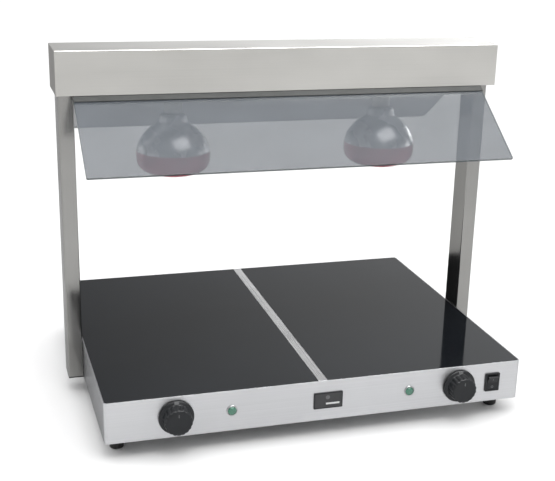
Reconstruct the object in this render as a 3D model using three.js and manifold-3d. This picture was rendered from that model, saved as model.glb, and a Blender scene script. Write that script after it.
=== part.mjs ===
// Two-lamp food warmer: a heated glass-topped base, two posts, and a canopy
// that carries two infrared reflector lamps between two tilted glass shields.
// Millimetres, +Z up, +X to the right of someone who stands at the controls,
// who looks along +Y. The origin is on the floor, under the middle of the
// object's bounding box.

import * as THREE from 'three';
import { mergeVertices } from 'three/addons/utils/BufferGeometryUtils.js';
import Module from 'manifold-3d';

const wasm = await Module();
wasm.setup();

// ---------------------------------------------------------------- dimensions

// Driving sizes
const BODY_W = 700;
const BODY_D = 560;
const DECK_Z = 99; // top of the glass plates
const BODY_Z = 30; // underside of the casing
const SHEET = 1.5; // sheet steel thickness
const GAP = 0.3; // clearance between pieces that touch
const CANOPY_W = 760;
const CANOPY_D = 94;
const CANOPY_Z = 523; // underside of the canopy
const CANOPY_H = 71;
const BULB_D = 125; // reflector lamp's widest diameter
const BULB_X = 185;

// Casing
const RIM_Z = DECK_Z - GAP;
const CORNER_R = 6;
const HALF_W = BODY_W / 2;
const HALF_D = BODY_D / 2;
const INNER_W = BODY_W - 2 * SHEET;
const INNER_D = BODY_D - 2 * SHEET;
const LEDGE = 14; // width of the shelf that carries the glass
const BOTTOM_FLANGE = 42;
const CONTROL_Z = (DECK_Z + BODY_Z) / 2;
const FOOT_X = 325;
const FOOT_Y = 232;

// Glass top, from the top down
const GLASS_T = 5;
const GLASS_Z = DECK_Z - GLASS_T;
const SEAL_T = 1.5;
const SEAL_Z = GLASS_Z - GAP - SEAL_T;
const LEDGE_TOP = SEAL_Z - GAP;
const LEDGE_Z = LEDGE_TOP - SHEET;
const STRIP_W = 15;
const STRIP_FOOT_W = 35;
const MAT_T = 2;
const MAT_Z = GLASS_Z - GAP - MAT_T;
const BOARD_T = 12;
const BOARD_Z = MAT_Z - GAP - BOARD_T;
const TRAY_T = 1.1;
const TRAY_Z = BOARD_Z - GAP - TRAY_T;
const TRAY_RIM_Z = LEDGE_Z - GAP - TRAY_T;

// Half of the deck: from the strip to the side wall
const GLASS_IN = STRIP_W / 2 + GAP;
const GLASS_OUT = INNER_W / 2 - GAP;
const GLASS_HALF_D = INNER_D / 2 - GAP;
const BAY_IN = STRIP_FOOT_W / 2;
const BAY_OUT = INNER_W / 2 - LEDGE;
const BAY_HALF_D = INNER_D / 2 - LEDGE;

// Posts
const POST_W = 25;
const POST_D = 50;
const POST_IN = HALF_W + GAP;
const POST_OUT = POST_IN + POST_W;
const POST_TOP = 570;
const PLUG_T = 2;
const POST_BOLT_Z = [48, 82];
const TOP_BOLT_Z = 548;
const LEAD_Z = 65; // where the lamp lead passes into the left post
const LEAD_HOLE_R = 6.5;
const LEAD_R = 2.5;

// Canopy
const CANOPY_TOP = CANOPY_Z + CANOPY_H;
const CANOPY_LIP = 12;
const PAN_Z = CANOPY_Z + SHEET + GAP;
const PAN_HALF_W = POST_IN - 0.8;
const PAN_HALF_D = CANOPY_D / 2 - SHEET - GAP;

// Lamp and its holder
const BULB_NECK_Z = 481;
const BULB_WIDE_Z = 411;
const BULB_TIP_Z = 378.5;
const NOSE_POWER = 2 / 3; // the nose is a superellipse of exponent 3
const HOLDER_R = 15.5;
const HOLDER_BORE_R = 13.7;
const CAP_R = 13.2;
const CAP_TOP = 530;
const CAP_LENGTH = 27;

// Shields: the section is drawn in the YZ plane for the front one
const SHIELD_HALF_W = 353;
const SHIELD_T = 4;
const SHIELD_LENGTH = 168;
const SHIELD_TILT = THREE.MathUtils.degToRad(34); // below the horizontal
const RAIL_T = 1.5;
const RAIL_LEG = 12;

// Controls
const KNOB_X = 239;
const KNOB_SKIRT_R = 28;
const KNOB_CAP_R = 22.5;
const KNOB_BACK = 2.4; // from the panel to the back of the skirt
const KNOB_FRONT = 24.5; // from the panel to the knob's face
const PILOT_X = 150;
const ROCKER_X = 300;
const ROCKER_TILT = THREE.MathUtils.degToRad(10);
const ROCKER_PIVOT = 1.5; // pivot's distance behind the panel's face
const BADGE_X = 9;
const INLET_X = 250;
const INLET_FLANGE = 2.5;

// The controls stand further out than the inlet does, so the casing's middle
// lies behind the origin by half of the difference.
const CASING_Y = (KNOB_FRONT - INLET_FLANGE) / 2;

const FRONT = -HALF_D; // outer face of the control panel, from the casing's middle
const REAR = HALF_D;

// ------------------------------------------------------------------- helpers

function toSolid(geometry) {
  const bare = geometry.clone();
  bare.deleteAttribute('normal');
  bare.deleteAttribute('uv');
  const merged = mergeVertices(bare, 1e-4);
  const index = merged.index.array;
  const corners = [];
  for (let i = 0; i < index.length; i += 3) {
    const [a, b, c] = [index[i], index[i + 1], index[i + 2]];
    if (a !== b && b !== c && c !== a) corners.push(a, b, c);
  }
  return new wasm.Manifold(new wasm.Mesh({
    numProp: 3,
    vertProperties: new Float32Array(merged.attributes.position.array),
    triVerts: new Uint32Array(corners),
  }));
}

function toGeometry(solid) {
  const { vertProperties, triVerts } = solid.getMesh();
  const geometry = new THREE.BufferGeometry();
  geometry.setAttribute('position', new THREE.BufferAttribute(new Float32Array(vertProperties), 3));
  geometry.setIndex(new THREE.BufferAttribute(new Uint32Array(triVerts), 1));
  return geometry;
}

function cut(base, tools) {
  return toGeometry(tools.reduce((solid, tool) => solid.subtract(toSolid(tool)), toSolid(base)));
}

function join(pieces) {
  return toGeometry(pieces.slice(1).reduce((solid, piece) => solid.add(toSolid(piece)), toSolid(pieces[0])));
}

function box([x0, x1], [y0, y1], [z0, z1]) {
  const geometry = new THREE.BoxGeometry(x1 - x0, y1 - y0, z1 - z0);
  return geometry.translate((x0 + x1) / 2, (y0 + y1) / 2, (z0 + z1) / 2);
}

// A box at the controls' height, from its middle in X and half of its width and height
function controlBox(x, halfWidth, [y0, y1], halfHeight) {
  return box([x - halfWidth, x + halfWidth], [y0, y1], [CONTROL_Z - halfHeight, CONTROL_Z + halfHeight]);
}

function span(half) {
  return [-half, half];
}

// A copy on the other side of the plane x = 0 (axis 'x') or y = 0 (axis 'y')
function mirrored(geometry, axis) {
  const copy = geometry.clone();
  copy.scale(axis === 'x' ? -1 : 1, axis === 'y' ? -1 : 1, 1);
  const flat = copy.index ? copy.toNonIndexed() : copy;
  const position = flat.attributes.position;
  for (let i = 0; i < position.count; i += 3) {
    const second = [position.getX(i + 1), position.getY(i + 1), position.getZ(i + 1)];
    position.setXYZ(i + 1, position.getX(i + 2), position.getY(i + 2), position.getZ(i + 2));
    position.setXYZ(i + 2, ...second);
  }
  return flat;
}

function sided(geometry, side) {
  return side > 0 ? geometry : mirrored(geometry, 'x');
}

// Upright cylinder, and cylinders along X and Y
function post(radius, [z0, z1], x, y, segments = 16) {
  const geometry = new THREE.CylinderGeometry(radius, radius, z1 - z0, segments);
  return geometry.rotateX(Math.PI / 2).translate(x, y, (z0 + z1) / 2);
}

function rodX(radius, [x0, x1], y, z, segments = 16) {
  const geometry = new THREE.CylinderGeometry(radius, radius, x1 - x0, segments);
  return geometry.rotateZ(Math.PI / 2).translate((x0 + x1) / 2, y, z);
}

function rodY(radius, [y0, y1], x, z, segments = 16) {
  return new THREE.CylinderGeometry(radius, radius, y1 - y0, segments).translate(x, (y0 + y1) / 2, z);
}

// Revolved solid about Z, its profile [radius, z] from the bottom to the top
function turned(profile, segments = 24) {
  const points = profile.map(([r, z]) => new THREE.Vector2(r, z));
  return new THREE.LatheGeometry(points, segments).rotateX(Math.PI / 2);
}

// Revolved solid that stands out of the control panel: [radius, distance out]
function turnedFromPanel(profile, x, z, segments = 18) {
  const geometry = turned(profile, segments).rotateX(Math.PI / 2);
  return geometry.translate(x, FRONT, z);
}

function roundedRect(width, depth, radius) {
  const [w, d] = [width / 2, depth / 2];
  const shape = new THREE.Shape();
  shape.moveTo(w, -d + radius);
  shape.absarc(w - radius, d - radius, radius, 0, Math.PI / 2);
  shape.absarc(-w + radius, d - radius, radius, Math.PI / 2, Math.PI);
  shape.absarc(-w + radius, -d + radius, radius, Math.PI, 1.5 * Math.PI);
  shape.absarc(w - radius, -d + radius, radius, 1.5 * Math.PI, 2 * Math.PI);
  return shape;
}

function slab(shape, [z0, z1], curveSegments = 3) {
  const geometry = new THREE.ExtrudeGeometry(shape, { depth: z1 - z0, bevelEnabled: false, curveSegments });
  return geometry.translate(0, 0, z0);
}

// A plate that faces the operator, from its outline in X and Z
function panelSlab(shape, [out0, out1], x, z, curveSegments = 3) {
  const geometry = slab(shape, [out0, out1], curveSegments).rotateX(Math.PI / 2);
  return geometry.translate(x, FRONT, z);
}

// A section in the YZ plane, drawn as [y, z] points and drawn out along X
function alongX(section, [x0, x1]) {
  const shape = new THREE.Shape(section.map(([y, z]) => new THREE.Vector2(y, z)));
  const geometry = new THREE.ExtrudeGeometry(shape, { depth: x1 - x0, bevelEnabled: false });
  // Local X, Y, Z become Y, Z, X
  return geometry.rotateY(Math.PI / 2).rotateX(Math.PI / 2).translate(x0, 0, 0);
}

// An eight-sided wire or tube along a smooth curve through the points
function wire(points, radius, steps) {
  const path = new THREE.CatmullRomCurve3(points.map((point) => new THREE.Vector3(...point)));
  const section = new THREE.Shape().absarc(0, 0, radius, 0, 2 * Math.PI);
  return new THREE.ExtrudeGeometry(section, { steps, extrudePath: path, curveSegments: 4 });
}

// Bolt along X through the right post's inner wall, from the plane under its head
function sideBolt(z, seat = INNER_W / 2 - GAP) {
  const head = rodX(5.5, [seat - 4, seat], 0, z, 6);
  const shank = rodX(3, [seat - 1, POST_IN + SHEET + 2], 0, z, 12);
  const nut = rodX(5, [POST_IN + SHEET + GAP, POST_IN + SHEET + 4.3], 0, z, 6);
  return join([head, shank, nut]);
}

// ----------------------------------------------------------------- materials

function finish(color, roughness, metalness) {
  return new THREE.MeshStandardMaterial({ color, roughness, metalness });
}

const STEEL = finish('#c3c2be', 0.34, 1);
const SCREW = finish('#b9babb', 0.3, 1);
const ALUMINIUM = finish('#c9cbcc', 0.4, 1);
const BLACK_GLASS = finish('#101214', 0.06, 0);
const TINTED_GLASS = new THREE.MeshStandardMaterial({
  color: '#8d97a0', roughness: 0.05, metalness: 0, transparent: true, opacity: 0.5,
});
const BLACK_PLASTIC = finish('#1b1d1f', 0.45, 0);
const GREEN_LENS = finish('#2f8a63', 0.2, 0);
const RUBBER = finish('#151515', 0.8, 0);
const SILICONE = finish('#2a2b2c', 0.7, 0);
const CERAMIC = finish('#dcdad2', 0.45, 0);
const MICA = finish('#a9905a', 0.6, 0);
const WOOL = finish('#d9d3bd', 0.95, 0);
const RED_GLASS = finish('#8a1010', 0.12, 0);
const BRASS = finish('#b08d45', 0.35, 1);
const COPPER = finish('#b5673f', 0.35, 1);
const LEAD = finish('#6f6f6b', 0.7, 0);

const casing = new THREE.Group();
casing.position.y = CASING_Y;
const machine = new THREE.Group();
machine.add(casing);

function add(name, geometry, material) {
  const mesh = new THREE.Mesh(geometry, material);
  mesh.name = name;
  casing.add(mesh);
}

const SIDES = [['left', -1], ['right', 1]];
const ENDS = [['front', -1], ['rear', 1]];

// -------------------------------------------------------------------- casing

function bodyWrap() {
  const outer = slab(roundedRect(BODY_W, BODY_D, CORNER_R), [BODY_Z, RIM_Z]);
  const room = roundedRect(INNER_W, INNER_D, CORNER_R - SHEET);
  const pockets = [
    slab(room, [LEDGE_TOP, DECK_Z + 1]),
    slab(room, [BODY_Z + SHEET, LEDGE_Z]),
    box(span(BAY_OUT), span(BAY_HALF_D), [LEDGE_Z - 1, LEDGE_TOP + 1]),
    box(span(HALF_W - BOTTOM_FLANGE), span(HALF_D - BOTTOM_FLANGE), [BODY_Z - 1, BODY_Z + SHEET + 1]),
  ];
  const through = [FRONT - 1, FRONT + SHEET + 1];
  const holes = [];
  for (const [, side] of SIDES) {
    holes.push(rodY(5.6, through, side * KNOB_X, CONTROL_Z));
    holes.push(rodY(5.4, through, side * PILOT_X, CONTROL_Z));
    for (const z of POST_BOLT_Z) {
      const wall = [HALF_W - SHEET - 1, HALF_W + 1].map((x) => side * x).sort((a, b) => a - b);
      holes.push(rodX(3.4, wall, 0, z, 12));
    }
    for (const y of span(FOOT_Y)) {
      holes.push(post(2.8, [BODY_Z - 1, BODY_Z + SHEET + 1], side * FOOT_X, y, 12));
    }
  }
  holes.push(rodX(LEAD_HOLE_R, [-HALF_W - 1, -HALF_W + SHEET + 1], 0, LEAD_Z));
  holes.push(controlBox(ROCKER_X, 11.4, through, 14.4));
  holes.push(controlBox(INLET_X, 14, [REAR - SHEET - 1, REAR + 1], 10.4));
  return cut(outer, [...pockets, ...holes]);
}

function basePlate() {
  const plate = slab(roundedRect(BODY_W - 30, BODY_D - 30, 4), [BODY_Z - GAP - SHEET, BODY_Z - GAP]);
  const below = [BODY_Z - 3, BODY_Z + 1];
  const slots = [];
  for (const side of [-1, 1]) {
    for (let row = -2; row <= 2; row += 1) {
      slots.push(box([side * 170 - 45, side * 170 + 45], [row * 26 - 3, row * 26 + 3], below));
    }
    for (const y of span(FOOT_Y)) slots.push(post(2.8, below, side * FOOT_X, y, 12));
  }
  return cut(plate, slots);
}

// Push-in rubber foot: its neck and barb pass through the plate and the casing
function foot(x, y) {
  const top = BODY_Z - 2 * GAP - SHEET;
  const barb = BODY_Z + SHEET + GAP;
  return turned([
    [0, 6], [5, 5], [5.5, 0], [10.2, 0], [11, 1], [13.5, top], [2.5, top], [2.5, barb], [4.4, barb],
    [2.2, barb + 5], [0, barb + 5],
  ], 14).translate(x, y, 0);
}

add('body_wrap', bodyWrap(), STEEL);
add('base_plate', basePlate(), STEEL);
for (const [end, sign] of ENDS) {
  for (const [name, side] of SIDES) {
    add(`foot_${end}_${name}`, foot(side * FOOT_X, sign * FOOT_Y), RUBBER);
  }
}

// ----------------------------------------------------------------- glass top

// Strip of I section between the plates; its foot carries their inner edges
function dividerStrip() {
  const cap = box(span(STRIP_W / 2), span(GLASS_HALF_D), [GLASS_Z, DECK_Z]);
  const web = box(span(1.5), span(BAY_HALF_D - GAP), [LEDGE_Z + 0.5, GLASS_Z + 1]);
  const bottom = box(span(STRIP_FOOT_W / 2), span(BAY_HALF_D - GAP), [LEDGE_Z, LEDGE_TOP]);
  return join([cap, web, bottom]);
}

// Plate that fills the right half of the casing, its outer corners rounded
function halfDeck([z0, z1]) {
  const shape = new THREE.Shape();
  const radius = CORNER_R - SHEET;
  shape.moveTo(GLASS_IN, GLASS_HALF_D);
  shape.lineTo(GLASS_IN, -GLASS_HALF_D);
  shape.absarc(GLASS_OUT - radius, -GLASS_HALF_D + radius, radius, 1.5 * Math.PI, 2 * Math.PI);
  shape.absarc(GLASS_OUT - radius, GLASS_HALF_D - radius, radius, 0, Math.PI / 2);
  return slab(shape, [z0, z1]);
}

function heaterTray() {
  const wallOut = [BAY_IN + 5, BAY_OUT - 5];
  const wallIn = [wallOut[0] + TRAY_T, wallOut[1] - TRAY_T];
  const halfY = BAY_HALF_D - 3;
  const rimTop = TRAY_RIM_Z + TRAY_T;
  const rim = box([BAY_IN - 5, BAY_OUT + 6], span(BAY_HALF_D + 6), [TRAY_RIM_Z, rimTop]);
  const pan = box(wallOut, span(halfY), [TRAY_Z, rimTop]);
  const room = box(wallIn, span(halfY - TRAY_T), [TRAY_Z + TRAY_T, rimTop + 1]);
  return cut(join([rim, pan]), [room]);
}

add('divider_strip', dividerStrip(), STEEL);
const boardX = [BAY_IN + 5 + TRAY_T + GAP, BAY_OUT - 5 - TRAY_T - GAP];
const boardHalfY = BAY_HALF_D - 3 - TRAY_T - GAP;
for (const [name, side] of SIDES) {
  const glass = halfDeck([GLASS_Z, DECK_Z]);
  const sealHole = box([BAY_IN, BAY_OUT], span(BAY_HALF_D), [SEAL_Z - 1, GLASS_Z + 1]);
  const seal = cut(halfDeck([SEAL_Z, SEAL_Z + SEAL_T]), [sealHole]);
  const mat = box(boardX, span(boardHalfY), [MAT_Z, MAT_Z + MAT_T]);
  const board = box(boardX, span(boardHalfY), [BOARD_Z, BOARD_Z + BOARD_T]);
  add(`glass_plate_${name}`, sided(glass, side), BLACK_GLASS);
  add(`glass_seal_${name}`, sided(seal, side), SILICONE);
  add(`heater_mat_${name}`, sided(mat, side), MICA);
  add(`insulation_board_${name}`, sided(board, side), WOOL);
  add(`heater_tray_${name}`, sided(heaterTray(), side), ALUMINIUM);
}

// ------------------------------------------------------------------ controls

// Thermostat's box behind the panel, with the threaded nose through it
function thermostat(x) {
  const top = TRAY_Z - GAP;
  const inner = FRONT + SHEET + GAP;
  const body = box([x - 22, x + 22], [inner, inner + 34], [CONTROL_Z - 13, top]);
  const nose = rodY(5, [FRONT - 1.6, inner + 1], x, CONTROL_Z);
  return cut(join([body, nose]), [rodY(3.4, [FRONT - 3, inner + 18], x, CONTROL_Z)]);
}

// Sensing tube of the thermostat: a fine pipe that ends in a thicker bulb
function capillary(x) {
  const start = FRONT + SHEET + GAP + 34 + GAP;
  const level = TRAY_Z - 4;
  const pipe = wire([
    [x, start, CONTROL_Z - 4], [x, start + 14, CONTROL_Z - 2], [x - 14, start + 40, CONTROL_Z + 4],
    [x - 30, start + 66, level - 0.5], [x - 36, start + 96, level],
  ], 1.2, 12);
  const bulb = rodY(3, [start + 90, start + 170], x - 36, level, 8);
  return join([pipe, bulb]);
}

// Knob: a round skirt, and a cap with finger flutes round its edge
function knob(x) {
  const skirt = turnedFromPanel([
    [0, KNOB_BACK + 2.6], [19, KNOB_BACK + 2.6], [19, KNOB_BACK], [KNOB_SKIRT_R - 0.6, KNOB_BACK],
    [KNOB_SKIRT_R, KNOB_BACK + 0.8], [KNOB_SKIRT_R, KNOB_BACK + 2.6], [KNOB_SKIRT_R - 2.5, KNOB_BACK + 5],
    [0, KNOB_BACK + 5],
  ], x, CONTROL_Z, 32);
  const flutes = 16;
  const steps = flutes * 3;
  const outline = new THREE.Shape();
  for (let i = 0; i < steps; i += 1) {
    const angle = (2 * Math.PI * i) / steps;
    const radius = KNOB_CAP_R - 0.9 * (0.5 + 0.5 * Math.cos(flutes * angle));
    const place = [radius * Math.cos(angle), radius * Math.sin(angle)];
    if (i === 0) outline.moveTo(...place);
    else outline.lineTo(...place);
  }
  const bevel = 1.2;
  const height = KNOB_FRONT - KNOB_BACK - 4 - bevel;
  const cap = new THREE.ExtrudeGeometry(outline, {
    depth: height, bevelThickness: bevel, bevelSize: bevel, bevelOffset: -bevel, bevelSegments: 1,
  }).rotateX(Math.PI / 2).translate(x, FRONT - KNOB_BACK - 4, CONTROL_Z);
  const bore = rodY(3.3, [FRONT - 16, FRONT], x, CONTROL_Z);
  const bossRoom = rodY(7, [FRONT - KNOB_BACK - 3.6, FRONT], x, CONTROL_Z);
  return cut(join([skirt, cap]), [bore, bossRoom]);
}

for (const [name, side] of SIDES) {
  const x = side * KNOB_X;
  add(`thermostat_${name}`, thermostat(x), CERAMIC);
  add(`capillary_${name}`, capillary(x), COPPER);
  add(`spindle_${name}`, rodY(3, [FRONT - 15.5, FRONT + 18], x, CONTROL_Z), BRASS);
  add(`knob_${name}`, knob(x), BLACK_PLASTIC);

  const pilotX = side * PILOT_X;
  const bezel = turnedFromPanel([
    [7.3, GAP], [9, GAP], [9, 1], [8.4, 1.6], [7.3, 1.6], [7.3, GAP],
  ], pilotX, CONTROL_Z);
  const lens = turnedFromPanel([
    [0, -16], [5, -16], [5, 0.4], [7, 0.4], [7, 2], [5.4, 3.4], [2.8, 4.2], [0, 4.4],
  ], pilotX, CONTROL_Z);
  add(`pilot_bezel_${name}`, bezel, ALUMINIUM);
  add(`pilot_lens_${name}`, lens, GREEN_LENS);
}

// Rocker switch. Its frame clips into the panel; its box is behind the panel.
function rockerHousing() {
  const bezel = panelSlab(roundedRect(26, 32, 1.5), [GAP, 2.6], ROCKER_X, CONTROL_Z);
  const neck = controlBox(ROCKER_X, 11, [FRONT - 1, FRONT + 13], 14);
  const rear = box([ROCKER_X - 10, ROCKER_X + 10], [FRONT + 12, FRONT + 26], [CONTROL_Z - 13, TRAY_Z - GAP]);
  const well = controlBox(ROCKER_X, 9.3, [FRONT - 4, FRONT + 7.5], 13.6);
  const bearing = rodX(1.6, [ROCKER_X - 10.4, ROCKER_X + 10.4], FRONT + ROCKER_PIVOT, CONTROL_Z, 12);
  return cut(join([bezel, neck, rear]), [well, bearing]);
}

function rocker() {
  const reach = 12;
  const rise = reach * Math.tan(ROCKER_TILT);
  // Section as [out, up] about the pivot, level, then turned to its off place
  const section = [
    [4.4, 0], [4.4 + rise, reach], [-1, reach], [-4, 9], [-4, -9], [-1, -reach], [4.4 + rise, -reach],
  ];
  const paddle = alongX(section.map(([out, up]) => [-out, up]), [-8.9, 8.9]);
  const pins = rodX(1.3, [-10, 10], 0, 0, 12);
  const whole = join([paddle, pins]).rotateX(ROCKER_TILT);
  return whole.translate(ROCKER_X, FRONT + ROCKER_PIVOT, CONTROL_Z);
}

add('rocker_housing', rockerHousing(), BLACK_PLASTIC);
add('rocker', rocker(), BLACK_PLASTIC);
add('badge_plate', panelSlab(roundedRect(49, 28, 1.5), [GAP, 1.5], BADGE_X, CONTROL_Z), BLACK_PLASTIC);

// -------------------------------------------------------------- electrics

// Appliance inlet at the back: a flanged box with a recess for the plug
function powerInlet() {
  const flange = controlBox(INLET_X, 25, [REAR + GAP, REAR + INLET_FLANGE], 13);
  const body = controlBox(INLET_X, 13.6, [REAR - 22, REAR + 1], 10);
  const recess = controlBox(INLET_X, 12, [REAR - 16, REAR + 4], 8.4);
  const pinHoles = [-7, 0, 7].map((x) => rodY(1.7, [REAR - 23, REAR - 15], INLET_X + x, CONTROL_Z + 3, 10));
  return cut(join([flange, body]), [recess, ...pinHoles]);
}

const pinCarrier = controlBox(INLET_X, 12, [REAR - 25, REAR - 22 - GAP], 8);
const inletPins = [-7, 0, 7].map((x) => rodY(1.3, [REAR - 30, REAR - 3], INLET_X + x, CONTROL_Z + 3, 10));
add('power_inlet', powerInlet(), BLACK_PLASTIC);
add('inlet_pins', join([pinCarrier, ...inletPins]), BRASS);
const blockFloor = BODY_Z;
const blockX = 130;
const blockY = 180;
const block = [-11, 0, 11].map((pole) => box(
  [blockX + pole - 5.2, blockX + pole + 5.2], [blockY - 10, blockY + 10], [blockFloor, blockFloor + 16],
));
const blockBridge = box([blockX - 16, blockX + 16], [blockY - 7, blockY + 7], [blockFloor, blockFloor + 7]);
add('terminal_block', join([...block, blockBridge]), CERAMIC);

// Lead from the terminal block, up inside the left post, then over the left
// holder to the right one
const leadX = -(POST_IN + POST_W / 2);
const leadTop = CANOPY_TOP - 11;
const holderTop = 575;
const lampLead = wire([
  [blockX - 20, blockY, 44], [blockX - 50, blockY - 4, 40], [-60, 110, 42], [-230, 34, 46], [-315, 4, 60],
  [-336, 0, LEAD_Z], [-350, 0, LEAD_Z + 1], [-359.5, 0, LEAD_Z + 9], [leadX, 0, LEAD_Z + 36],
  [leadX, 0, 300], [leadX, 0, POST_TOP - 20], [-357, 0, leadTop - 6], [-341, 0, leadTop], [-300, 0, leadTop],
  [-BULB_X, 0, leadTop], [0, 0, leadTop], [BULB_X - 45, 0, leadTop], [BULB_X - 20, 0, leadTop - 1.5],
  [BULB_X - 4, 0, holderTop + LEAD_R + 1],
], LEAD_R, 90);
add('lamp_lead', lampLead, LEAD);

// --------------------------------------------------------------------- posts

function sidePost() {
  const z0 = BODY_Z + PLUG_T + GAP;
  const tube = box([POST_IN, POST_OUT], span(POST_D / 2), [z0, POST_TOP]);
  const room = box([POST_IN + SHEET, POST_OUT - SHEET], span(POST_D / 2 - SHEET), [z0 - 1, POST_TOP + 1]);
  const wall = [POST_IN - 1, POST_IN + SHEET + 1];
  const holes = [...POST_BOLT_Z, TOP_BOLT_Z].map((z) => rodX(3.4, wall, 0, z, 12));
  return [tube, room, holes, rodX(LEAD_HOLE_R, wall, 0, LEAD_Z)];
}

function postPlug() {
  const cover = box([POST_IN, POST_OUT], span(POST_D / 2), [BODY_Z, BODY_Z + PLUG_T]);
  const core = box(
    [POST_IN + SHEET + GAP, POST_OUT - SHEET - GAP], span(POST_D / 2 - SHEET - GAP),
    [BODY_Z + 1, BODY_Z + PLUG_T + 9],
  );
  return join([cover, core]);
}

for (const [name, side] of SIDES) {
  const [tube, room, holes, leadHole] = sidePost();
  const cuts = side < 0 ? [room, ...holes, leadHole] : [room, ...holes];
  add(`post_${name}`, sided(cut(tube, cuts), side), STEEL);
  add(`post_plug_${name}`, sided(postPlug(), side), BLACK_PLASTIC);
  POST_BOLT_Z.forEach((z, row) => {
    add(`post_bolt_${row ? 'upper' : 'lower'}_${name}`, sided(sideBolt(z), side), SCREW);
  });
}

// -------------------------------------------------------------------- canopy

// Folded box, open below, with a lip along its front and back edges
function canopyShell() {
  const outer = box(span(CANOPY_W / 2), span(CANOPY_D / 2), [CANOPY_Z, CANOPY_TOP]);
  const room = box(
    span(CANOPY_W / 2 - SHEET), span(CANOPY_D / 2 - SHEET), [CANOPY_Z + SHEET, CANOPY_TOP - SHEET],
  );
  const mouth = box(
    span(CANOPY_W / 2 - SHEET), span(CANOPY_D / 2 - SHEET - CANOPY_LIP), [CANOPY_Z - 1, CANOPY_Z + SHEET + 1],
  );
  return cut(outer, [room, mouth]);
}

// Reflector plate inside the canopy, which carries the lamp holders
function reflectorPan() {
  const plate = box(span(PAN_HALF_W), span(PAN_HALF_D), [PAN_Z, PAN_Z + SHEET]);
  const through = [PAN_Z - 1, PAN_Z + SHEET + 1];
  return cut(plate, span(BULB_X).map((x) => post(HOLDER_R + 1, through, x, 0, 24)));
}

// Angle between the post's inner face and the top of the canopy
function canopyBracket() {
  const face = POST_IN - GAP;
  const under = CANOPY_TOP - SHEET - GAP;
  const leg = box([face - 2.2, face], span(20), [PAN_Z + SHEET + 2, under]);
  const arm = box([face - 28, face], span(20), [under - 2.2, under]);
  const wall = [face - 4, face + 1];
  return cut(join([leg, arm]), [rodX(3.4, wall, 0, TOP_BOLT_Z, 12), rodX(6.5, wall, 0, leadTop)]);
}

add('canopy_shell', canopyShell(), STEEL);
add('reflector_pan', reflectorPan(), ALUMINIUM);
for (const [name, side] of SIDES) {
  add(`canopy_bracket_${name}`, sided(canopyBracket(), side), STEEL);
  add(`canopy_bolt_${name}`, sided(sideBolt(TOP_BOLT_Z, POST_IN - 2 * GAP - 2.2), side), SCREW);
}

// --------------------------------------------------------------------- lamps

function lampHolder() {
  const flangeZ = PAN_Z + SHEET + GAP;
  return turned([
    [HOLDER_BORE_R, BULB_NECK_Z + 2], [HOLDER_R, BULB_NECK_Z + 2], [HOLDER_R, flangeZ],
    [24, flangeZ], [24, flangeZ + 4], [21, flangeZ + 4], [21, holderTop - 3], [19, holderTop], [0, holderTop],
    [0, CAP_TOP + 3], [HOLDER_BORE_R, CAP_TOP + 3], [HOLDER_BORE_R, BULB_NECK_Z + 2],
  ], 20);
}

// Reflector envelope: a flattened nose, a wide rim, a long cone, a collar and a neck
function bulb() {
  const wide = BULB_D / 2;
  const profile = [];
  const noseSteps = 7;
  for (let i = 0; i <= noseSteps; i += 1) {
    const angle = (Math.PI / 2) * (i / noseSteps);
    const drop = (BULB_WIDE_Z - BULB_TIP_Z) * Math.cos(angle) ** NOSE_POWER;
    profile.push([wide * Math.sin(angle) ** NOSE_POWER, BULB_WIDE_Z - drop]);
  }
  profile.push([62.3, 418], [60.3, 427], [55.6, 437.5], [48.6, 447.5], [40, 456.3], [31, 463.2]);
  profile.push([25.8, 467.4], [24.4, 471], [23.6, 476.5], [22.2, 480.2], [19, BULB_NECK_Z + 1]);
  const neckTop = CAP_TOP - CAP_LENGTH - GAP;
  profile.push([12.4, BULB_NECK_Z + 1.6], [12.4, neckTop], [0, neckTop]);
  return turned(profile, 28);
}

function bulbCap() {
  const z0 = CAP_TOP - CAP_LENGTH;
  return turned([
    [0, z0], [CAP_R, z0], [CAP_R, CAP_TOP - 5], [5, CAP_TOP - 1.5], [5, CAP_TOP], [0, CAP_TOP],
  ], 16);
}

for (const [name, side] of SIDES) {
  add(`lamp_holder_${name}`, lampHolder().translate(side * BULB_X, 0, 0), CERAMIC);
  add(`bulb_${name}`, bulb().translate(side * BULB_X, 0, 0), RED_GLASS);
  add(`bulb_cap_${name}`, bulbCap().translate(side * BULB_X, 0, 0), BRASS);
}

// ------------------------------------------------------------------- shields

// Directions in the YZ plane for the front shield: down its slope, and out of
// its upper face.
const slope = [-Math.cos(SHIELD_TILT), -Math.sin(SHIELD_TILT)];
const normal = [-Math.sin(SHIELD_TILT), Math.cos(SHIELD_TILT)];
const railFront = [-(CANOPY_D / 2 - 0.5), CANOPY_Z - GAP];

function along(start, down, up) {
  return [start[0] + slope[0] * down + normal[0] * up, start[1] + slope[1] * down + normal[1] * up];
}

// A band parallel to the slope, from down0 to down1, between two heights
function band([down0, down1], [up0, up1], [x0, x1]) {
  return alongX([
    along(railFront, down0, up0), along(railFront, down1, up0),
    along(railFront, down1, up1), along(railFront, down0, up1),
  ], [x0, x1]);
}

const glassUp = [-RAIL_T - GAP - SHIELD_T, -RAIL_T - GAP];
const clampUp = [glassUp[0] - GAP - RAIL_T, glassUp[0] - GAP];
const glassStart = 3.2;

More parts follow.
